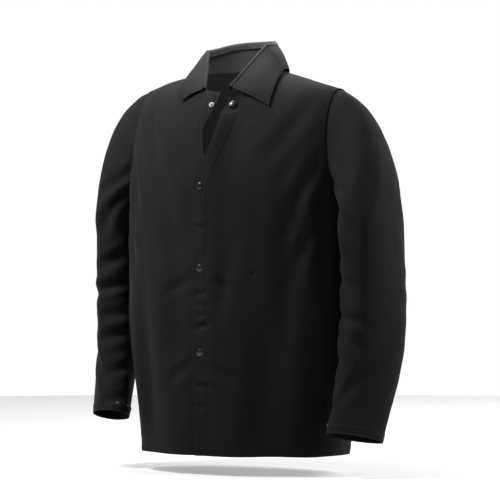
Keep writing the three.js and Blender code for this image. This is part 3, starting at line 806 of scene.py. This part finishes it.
# each fold: start and end as (degrees round from the outside by the front, height), how deep and how wide
SLEEVE_FOLDS = {
    "left": (
        ((150, -160), (70, -330), 5.0, 13),
        ((165, -240), (60, -360), 4.0, 13),
        ((30, -190), (70, -300), 3.0, 16),
        ((174, -300), (105, -420), 3.6, 13),
        ((172, -405), (60, -440), 3.8, 11),
        ((176, -476), (40, -500), 4.6, 11),
        ((120, -510), (24, -556), 2.8, 12),
        ((168, -552), (80, -590), 3.0, 13),
        ((24, -436), (-30, -462), 1.4, 13),
        ((0, -560), (70, -660), 3.4, 13),
        ((160, -640), (60, -690), 2.2, 12),
        ((-40, -240), (-90, -360), 4.0, 14),
        ((-80, -420), (-150, -470), 5.0, 12),
        ((-70, -530), (-140, -580), 2.4, 14),
    ),
    "right": (
        ((150, -140), (80, -250), 4.5, 12),
        ((165, -185), (70, -330), 5.5, 13),
        ((60, -250), (130, -380), 4.0, 14),
        ((190, -345), (70, -395), 6.0, 11),
        ((180, -415), (20, -452), 6.4, 10),
        ((190, -474), (50, -496), 4.6, 10),
        ((170, -520), (40, -545), 4.5, 10),
        ((30, -430), (-60, -450), 4.0, 11),
        ((180, -580), (60, -612), 3.6, 10),
        ((150, -650), (40, -668), 2.6, 9),
        ((-40, -240), (-90, -360), 4.0, 14),
        ((-80, -420), (-150, -470), 5.0, 12),
        ((0, -540), (70, -630), 3.0, 13),
    ),
}
SLEEVE_RADIUS = 60
ELBOW_Z, ELBOW_REACH = -455, 75


def sleeve_relief(side, p, angle, v):
    """Folds round the arm, softer against the body, the elbow's crumples, gathers and the cuff's hem."""
    calm_inside = 1 - 0.65 * bump(angle - np.pi, 0.6)
    push = np.zeros(v.shape)
    for (a, top), (b, low), deep, wide in SLEEVE_FOLDS[side]:
        away = (angle - math.radians((a + b) / 2) + np.pi) % (2 * np.pi) - np.pi
        flat = np.stack([SLEEVE_RADIUS * away, p[..., 2]], -1)
        half = SLEEVE_RADIUS * math.radians(b - a) / 2
        push += calm_inside * crease(flat, ((-half, top), (half, low), deep, wide))
    push += 3.0 * soft_noise(p, 85, 21 if side == "left" else 24, (1, 1, 0.5))
    push += 0.6 * soft_noise(p, 24, 22, (1, 1, 0.8))
    crumples = np.sin(p[..., 2] / 8.1 + p[..., 1] / 21 + 2.2 * np.sin(angle))
    push += 0.6 * bump(p[..., 2] - ELBOW_Z, ELBOW_REACH) * crumples
    push += 1.1 * bump(v - 0.03, 0.02) * np.sin(9 * angle) * (np.cos(angle) > -0.3)
    rise = (1 - v) * (ARM[side]["z"][0] - ARM[side]["z"][3]) / (1 - SLEEVE_HEAD)
    push += hem_relief(rise, CUFF_HEM) - 0.4 * bump(rise - EDGE_STITCH, 1.5)
    return push * smooth((v - 0.015) / 0.06)


def make_sleeves():
    angles = np.linspace(0, 2 * np.pi, 150, endpoint=False)
    rows = np.concatenate([[-0.015, -0.007], np.linspace(0, 0.955, 190), np.linspace(0.958, 1, 26)])
    for side in BODY_SIDES:
        points, angle, v = sleeve_grid(side, angles, rows)
        cloth = Cloth(points, closed=True)
        cloth.push(sleeve_relief(side, points, angle, v))
        mirrored_if(side, cloth)
        obj = cloth.build(f"{side}_sleeve_cloth", SHELL)
        cuff_z, cuff_y = ARM[side]["z"][3], ARM[side]["y"][3]
        cuff_wear = lambda p: 0.4 * bump(p[:, 2] - cuff_z + CUFF_TILT * (p[:, 1] - cuff_y), 2.5)
        fit(obj, attach_sleeve(), [f"{side}_sleeve"], wear=[cuff_wear])
        runs = [cloth.beside("top", inset) for inset in (CUFF_HEM, EDGE_STITCH)]
        thread = stitches(f"{side}_cuff_topstitch", runs, lambda o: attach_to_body(o, f"{side}_arm"))


# --- the collar ---

COLLAR_END, WING_START = math.radians(158), math.radians(100)  # round the neck from the centre back
STAND_BACK_Z, ROLL_BACK_Y = 55, 71
ROLL_SIDE, ROLL_FRONT = np.array([78, -18, 50.0]), np.array([31, -100, -41.0])
FALL_EDGE_X = {"left": (0, 52, 82, 102, 112, 117), "right": (0, 60, 99, 105, 97, 80)}
FALL_EDGE_Y = {"left": (91, 71, 27, -24, -64, -100), "right": (91, 77, 34, -26, -70, -103)}
FALL_SHARES = (0, 0.25, 0.45, 0.65, 0.82, 1)  # of the way round, at each of the fall's edge stations
RIGHT_ROLL_DROP, LEFT_ROLL_IN, LEFT_ROLL_DROP = 15, 0.2, 7  # the worn collar leans and sinks unevenly
ROLL_RADIUS = 3.0
ROLLED, TURNED_IN = 0.14, 0.08  # of a fall's rows, round its roll and down inside the stand
TURNED_IN_DEPTH = 9
FALL_LIFT, FALL_SWELL = 5.5, 2.6
END_REACH = 95  # from the middle of the neck to the fall's front end
STAND_SWELL, STAND_FOOT_SINK, STAND_HEAD_SINK = 2.0, 3, 1.5


def neck_ring(turn):
    x = NECK_HALF_WIDTH * np.sin(turn)
    front = np.cos(turn) < 0
    z = np.where(front, top_z(x, True), top_z(x, False))
    y = np.where(front, -depth(x, z, True), depth(x, z, False))
    return np.stack([x, y, z], -1)


def roll_line(turn, right):
    """The collar's fold, from the centre back round to its front end; right says which half a turn is on."""
    right = np.broadcast_to(right, turn.shape)
    share = np.clip(turn / WING_START, 0, 1)
    quarter = share * np.pi / 2
    x, y = ROLL_SIDE[0] * np.sin(quarter), mix(ROLL_BACK_Y, ROLL_SIDE[1], 1 - np.cos(quarter))
    back = np.stack([x, y, mix(STAND_BACK_Z, ROLL_SIDE[2], share * share)], -1)
    back[..., 0] *= np.where(right, 1, 1 - LEFT_ROLL_IN * smooth(share * 2))
    back[..., 2] -= np.where(right, 0, LEFT_ROLL_DROP) * smooth((share - 0.2) / 0.5)
    left_side = ROLL_SIDE * [1 - LEFT_ROLL_IN, 1, 1] - [0, 0, LEFT_ROLL_DROP]
    side = np.where(right[..., None], ROLL_SIDE, left_side)
    front = np.clip((turn - WING_START) / (COLLAR_END - WING_START), 0, 1)[..., None]
    line = np.where((turn > WING_START)[..., None], mix(side, ROLL_FRONT, front), back)
    line[..., 2] -= np.where(right, RIGHT_ROLL_DROP, 0) * bump(turn - WING_START, 0.75)
    return line


def make_stand():
    turns = np.linspace(COLLAR_END, -COLLAR_END, 181)
    v = np.linspace(0, 1, 26)[:, None, None]
    side = np.ones((len(turns), 3))
    side[turns < 0, 0] = -1
    foot, head = neck_ring(np.abs(turns)) * side, roll_line(np.abs(turns), turns < 0) * side
    foot[:, 2] -= STAND_FOOT_SINK
    foot[:, :2] *= 1 - 0.03 * smooth((np.abs(turns) - 1.2) / 0.8)[:, None]
    head[:, 2] -= STAND_HEAD_SINK
    head[:, :2] *= 0.985
    points = mix(foot[None], head[None], v)
    cloth = Cloth(points)
    cloth.push(STAND_SWELL * np.sin(np.pi * v[..., 0]) + 0.8 * soft_noise(points, 40, 31))
    obj = cloth.build("collar_stand_cloth", SHELL, STAND_THICKNESS)
    fit(obj, attach_torso, ["collar_stand"])
    inside = Cloth(cloth.points - (STAND_THICKNESS + 0.1) * cloth.normals(), outward=-1)
    seam = [inside.beside("bottom", inset) for inset in SEAM_STITCHES]
    thread = stitches("neck_seam_topstitch", seam, attach_torso)


def fall_grid(side, turns, v):
    """From inside the stand over the roll, for v below 0, and out over the shoulder to the collar's edge."""
    roll, share = roll_line(turns, side == "right"), turns / COLLAR_END
    x, y = through(FALL_SHARES, FALL_EDGE_X[side], share), through(FALL_SHARES, FALL_EDGE_Y[side], share)
    edge = np.stack([x, y, surface_z(x, y) + FALL_LIFT], -1)
    outward = (edge - roll) * [1, 1, 0]
    outward /= np.linalg.norm(outward, axis=1, keepdims=True)
    out = np.clip(v, 0, 1)
    fall = mix(roll[None], edge[None], out[..., None]) + ROLL_RADIUS * outward[None]
    swell = FALL_SWELL * np.sin(np.pi * out) * (1 - 0.3 * share[None])
    fall += swell[..., None] * (outward[None] + [0, 0, 1])
    over = np.clip(-v / ROLLED, 0, 1) * np.pi
    arch = roll[None] + (ROLL_RADIUS * np.cos(over))[..., None] * outward[None]
    arch[..., 2] += ROLL_RADIUS * np.sin(over) - TURNED_IN_DEPTH * np.clip((-v - ROLLED) / TURNED_IN, 0, 1)
    return np.where((v < 0)[..., None], arch, fall), np.linalg.norm(edge - roll, axis=1)


def make_falls():
    turns = np.linspace(0, COLLAR_END, 120)
    v = np.concatenate([np.linspace(-ROLLED - TURNED_IN, 0, 22)[:-1], np.linspace(0, 1, 52)])[:, None]
    for side in BODY_SIDES:
        points, widths = fall_grid(side, turns, v)
        cloth = Cloth(points, outward=-1)
        edge_distance = (1 - np.clip(v, 0, 1)) * widths[None]
        end_distance = END_REACH * (COLLAR_END - turns)[None]
        near = np.minimum(edge_distance, end_distance)
        push = 0.7 * soft_noise(points, 38, 41 if side == "left" else 43) * np.clip(v * 4, 0, 1)
        cloth.push(push - 0.45 * bump(near - 6, 1.6) + 0.25 * bump(near - 2.5, 2.5))
        mirrored_if(side, cloth)
        obj = cloth.build(f"{side}_collar_fall", SHELL, FALL_THICKNESS)
        pieces = [f"{side}_collar_wing"]
        if side == "left":
            pieces = ["collar_back"] + pieces
        fit(obj, attach_fall(), pieces)
        runs = [cloth.beside("top", 6), cloth.beside("right", 6, 0.32)]
        thread = stitches(f"{side}_collar_topstitch", runs, attach_fall(), 2.6, 0.9)


# --- the inside pocket ---

POCKET_X, POCKET_LOW_Z = (119, 221), -562
POCKET_INSET = 13  # behind the left front


def make_pocket():
    x, z = np.meshgrid(np.linspace(*POCKET_X, 60), np.linspace(POCKET_LOW_Z, POCKET_MOUTH_Z, 80))
    cloth = Cloth(front_points("left", x, z))
    cloth.push(np.full(x.shape, -POCKET_INSET))
    obj = cloth.build("inside_pocket_cloth", LINING, POCKET_THICKNESS)
    fit(obj, attach_torso, ["inside_pocket"])


# --- snaps ---

def turned(name, profile, at, normal, material, body, node_name):
    """A piece turned about the line through `at` along `normal`, from (radius, height) in millimetres."""
    sides = 48
    points, faces = [], []
    for radius, height in profile:
        for k in range(sides):
            angle = 2 * math.pi * k / sides
            points.append((radius * math.cos(angle), radius * math.sin(angle), height))
    for ring in range(len(profile) - 1):
        for k in range(sides):
            a, b = ring * sides + k, ring * sides + (k + 1) % sides
            faces.append((a, b, b + sides, a + sides))
    mesh = bpy.data.meshes.new(name)
    mesh.from_pydata(points, [], faces)
    turn = Vector((0, 0, 1)).rotation_difference(Vector(normal)).to_matrix().to_4x4()
    mesh.transform(Matrix.Translation(Vector(at) * MM) @ turn @ Matrix.Scale(MM, 4))
    merge_close(mesh)
    shade_smooth(mesh, 40)
    mesh.materials.append(material)
    obj = add_object(name, mesh)
    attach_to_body(obj, body)
    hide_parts(node_name)


def merge_close(mesh):
    work = bmesh.new()
    work.from_mesh(mesh)
    bmesh.ops.remove_doubles(work, verts=work.verts, dist=1e-6)
    bmesh.ops.recalc_face_normals(work, faces=work.faces)
    work.to_mesh(mesh)
    work.free()


def cap_profile(layers, seat):
    """A domed ring cap with a rolled rim."""
    rim = [(6.6, seat), (7.2, seat + 0.05), (7.5, seat + 0.4), (7.35, seat + 0.85), (6.9, seat + 1.05)]
    dome = [(6.5 * math.cos(a), seat + 1.0 + 1.6 * math.sin(a)) for a in np.linspace(0.08, math.pi / 2, 12)]
    post = [(0.01, -layers), (1.6, -layers), (1.6, seat), (6.6, seat)]
    return post + rim[1:] + dome[:-1] + [(0.01, seat + 2.6)]


def stud_profile(layers, flange, seat):
    post = [(0.01, -layers - 0.45), (1.6, -layers - 0.45), (1.6, seat), (flange - 0.3, seat)]
    plate = [(flange, seat + 0.15), (flange - 0.2, seat + 0.4), (3.2, seat + 0.42), (2.5, seat + 0.6)]
    head = [(2.1, seat + 0.9), (2.35, seat + 1.15), (2.6, seat + 1.45), (2.5, seat + 1.8), (2.1, seat + 2.05)]
    return post + plate + head + [(1.2, seat + 2.2), (0.01, seat + 2.2)]


def socket_profile(layers, sag):
    near, far = -layers - sag, -layers - sag - 1.8
    ring = [(3.1, far), (3.4, far), (5.6, far), (6.1, far + 0.4), (6.2, near - 0.4), (6.0, near)]
    return ring + [(3.1, near), (3.0, (near + far) / 2), (3.1, far)]


def back_profile(layers, sag, radius):
    near = -layers - sag
    face = [(1.95, near - 0.7), (2.6, near - 0.7), (radius - 0.4, near - 0.6), (radius, near - 0.3)]
    return face + [(radius, near), (1.95, near), (1.95, near - 0.7)]


def front_frame(side, x, z):
    """The CAD surface's point and normal on a front, in the object's frame."""
    at = front_points(side, np.array(float(x)), np.array(float(z)))
    across = front_points(side, np.array(x + 1.0), np.array(float(z))) - at
    up = front_points(side, np.array(float(x)), np.array(z + 1.0)) - at
    normal = np.cross(across, up)
    return at, normal / np.linalg.norm(normal)


FRONT_SEAT, CUFF_SEAT = 0.45, 0.9  # how far a snap's rim stands off the CAD surface
FRONT_FLANGE, CUFF_FLANGE = 5.4, 4.4
CUFF_LAYERS, CUFF_SAG = 1.6, 1.0
CUFF_SNAP_RISE = 16
CUFF_CAP_AT, CUFF_STUDS_AT = 185, (96, 132)  # degrees round from the outside by the front


def make_front_snaps():
    for i, z in enumerate(SNAP_Z):
        undone = i == 0
        over, under = ("torso", "torso") if undone else ("left_front", "right_front")
        layers, sag = (4.2, 1.0) if undone else (3.3, 0.7)
        left = front_frame("left", front_edge("left", z) + LAP_HALF if undone else 0, z)
        right = front_frame("right", 0, z)
        parts = (
            ("cap", cap_profile(layers, FRONT_SEAT), left, CAP, over),
            ("socket", socket_profile(layers, sag), left, SILVER, over),
            ("stud", stud_profile(layers, FRONT_FLANGE, FRONT_SEAT), right, SILVER, under),
            ("back", back_profile(layers, sag, FRONT_FLANGE), right, SILVER, under),
        )
        for part, profile, place, material, body in parts:
            turned(f"snap_{part}_{i + 1}", profile, *place, material, body, f"front_snap_{part}_{i + 1}")


def cuff_frame(side, degrees):
    """The sleeve surface's point and normal at the row of snaps."""
    length = ARM[side]["z"][0] - ARM[side]["z"][3]
    row = 1 - CUFF_SNAP_RISE * (1 - SLEEVE_HEAD) / length
    angle, turn, rise = math.radians(degrees), 0.06, 0.01
    angles, rows = np.array([angle - turn, angle, angle + turn]), np.array([row - rise, row, row + rise])
    patch = sleeve_grid(side, angles, rows)[0] * [SIGN[side], 1, 1]
    normal = np.cross(patch[1, 2] - patch[1, 0], patch[2, 1] - patch[0, 1]) * SIGN[side]
    return patch[1, 1], normal / np.linalg.norm(normal)


def make_cuff_snaps():
    parts = [
        ("cap", cap_profile(CUFF_LAYERS, CUFF_SEAT), CUFF_CAP_AT, CAP),
        ("socket", socket_profile(CUFF_LAYERS, CUFF_SAG), CUFF_CAP_AT, SILVER),
    ]
    for i, degrees in enumerate(CUFF_STUDS_AT):
        parts.append((f"stud_{i + 1}", stud_profile(CUFF_LAYERS, CUFF_FLANGE, CUFF_SEAT), degrees, SILVER))
        parts.append((f"back_{i + 1}", back_profile(CUFF_LAYERS, CUFF_SAG, CUFF_FLANGE), degrees, SILVER))
    for side in BODY_SIDES:
        for part, profile, degrees, material in parts:
            place, arm, node_name = cuff_frame(side, degrees), f"{side}_arm", f"{side}_cuff_{part}"
            turned(f"{side}_cuff_snap_{part}", profile, *place, material, arm, node_name)


# --- stage ---

AZIMUTH = math.radians(33)
CAMERA_DISTANCE, LENS = 6.1, 220.3
AIM_RIGHT, AIM_Z = 0.010, -0.36
FLOOR_Z, FLOOR_RADIUS, FLOOR_GLOW = -0.80, 3.2, 0.28
STUDIO_LIGHT = 0.21  # round the camera; the backdrop behind the jacket is 1
LAMPS = (  # name, place, what it faces, size, power
    ("key", (-0.68, -0.84, 1.0), (0, 0, -0.2), 0.6, 29),
    ("right_rim", (2.0, 0.5, 0.6), (0, 0, AIM_Z), 1.2, 20),
    ("back_fill", (0.6, 2.6, 1.2), (0, 0, AIM_Z), 2.0, 45),
    ("inside_fill", (0.0, -0.03, -0.24), (-0.08, 0.07, 0.02), 0.12, 0.42),
    ("collar_light", (-0.02, 0.0, 0.17), (0.02, 0.09, -0.02), 0.16, 1.6),
)


def make_camera(right, back):
    camera = add_object("camera", bpy.data.cameras.new("camera"))
    camera.data.lens, camera.data.sensor_width = LENS, 36
    camera.location = right * AIM_RIGHT + Vector((0, 0, AIM_Z)) + back * CAMERA_DISTANCE
    camera.rotation_euler = (-back).to_track_quat("-Z", "Y").to_euler()
    bpy.context.scene.camera = camera


def make_floor():
    """A pale ground that glows a little and throws no diffuse light back on the jacket."""
    place = (0, 0, FLOOR_Z)
    bpy.ops.mesh.primitive_circle_add(vertices=96, radius=FLOOR_RADIUS, fill_type="NGON", location=place)
    floor = bpy.context.object
    floor.name = "floor"
    pale, _, surface = new_material("pale_floor", (0.86, 0.86, 0.86), 0.85)
    surface.inputs["Emission Color"].default_value = (1, 1, 1, 1)
    surface.inputs["Emission Strength"].default_value = FLOOR_GLOW
    floor.data.materials.append(pale)
    floor.visible_diffuse = False


def make_studio(back):
    """A white backdrop behind the jacket that dims towards the camera, as one soft light all round."""
    world = bpy.data.worlds.new("studio")
    bpy.context.scene.world = world
    world.use_nodes = True
    tree = world.node_tree
    place = node(tree, "ShaderNodeTexCoord")
    towards = node(tree, "ShaderNodeVectorMath", operation="DOT_PRODUCT")
    towards.inputs[1].default_value = -back
    link(tree, place.outputs["Generated"], towards.inputs[0])
    limits = dict(from_min=0.2, from_max=0.95, to_min=STUDIO_LIGHT, to_max=1.0)
    glow = remap(tree, towards.outputs["Value"], **limits)
    glow.node.interpolation_type = "SMOOTHSTEP"
    link(tree, glow, tree.nodes["Background"].inputs["Strength"])
    tree.nodes["Background"].inputs["Color"].default_value = (1, 1, 1, 1)
    bpy.context.scene.view_settings.view_transform = "Standard"


def make_lamps():
    for name, place, target, size, power in LAMPS:
        data = bpy.data.lights.new(name, "AREA")
        data.size, data.energy = size, power
        lamp = add_object(name, data)
        lamp.location = place
        lamp.rotation_euler = (Vector(target) - Vector(place)).to_track_quat("-Z", "Y").to_euler()
        lamp.visible_camera = False


def make_stage():
    right = Vector((math.cos(AZIMUTH), math.sin(AZIMUTH), 0))
    back = Vector((math.sin(AZIMUTH), -math.cos(AZIMUTH), 0))
    make_camera(right, back)
    make_floor()
    make_studio(back)
    make_lamps()


make_stage()
make_stand()
make_fronts()
make_back()
make_sleeves()
make_falls()
make_pocket()
make_front_snaps()
make_cuff_snaps()
